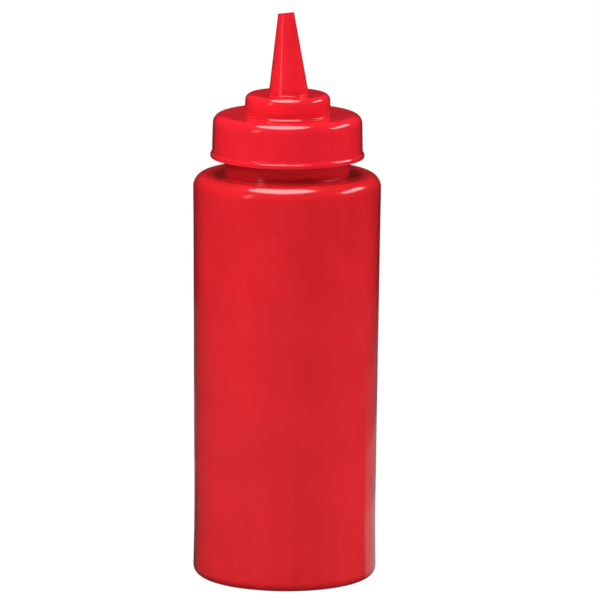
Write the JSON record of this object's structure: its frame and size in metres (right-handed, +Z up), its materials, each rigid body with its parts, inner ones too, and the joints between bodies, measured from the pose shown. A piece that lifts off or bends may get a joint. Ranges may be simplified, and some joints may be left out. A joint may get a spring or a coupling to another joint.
{
  "type": "squeeze bottle",
  "caption": "Opaque squeeze bottle for sauces: round satin body, short neck, glossy stepped screw cap with a tapered nozzle.",
  "frame": {"origin": "on the ground, at the centre of the bottle's foot ring", "axes": "+Z up along the bottle's axis; the nozzle's slight lean is towards -X; +Y is away from the viewer"},
  "size_m": [0.061, 0.061, 0.1855],
  "materials": {
    "bottle_plastic": "satin blow-moulded LDPE, red",
    "cap_plastic": "glossy injection-moulded LDPE, red"
  },
  "bodies": {
    "root": {"bottle": "bottle_plastic", "nozzle_cap": "cap_plastic"}
  },
  "joints": []
}
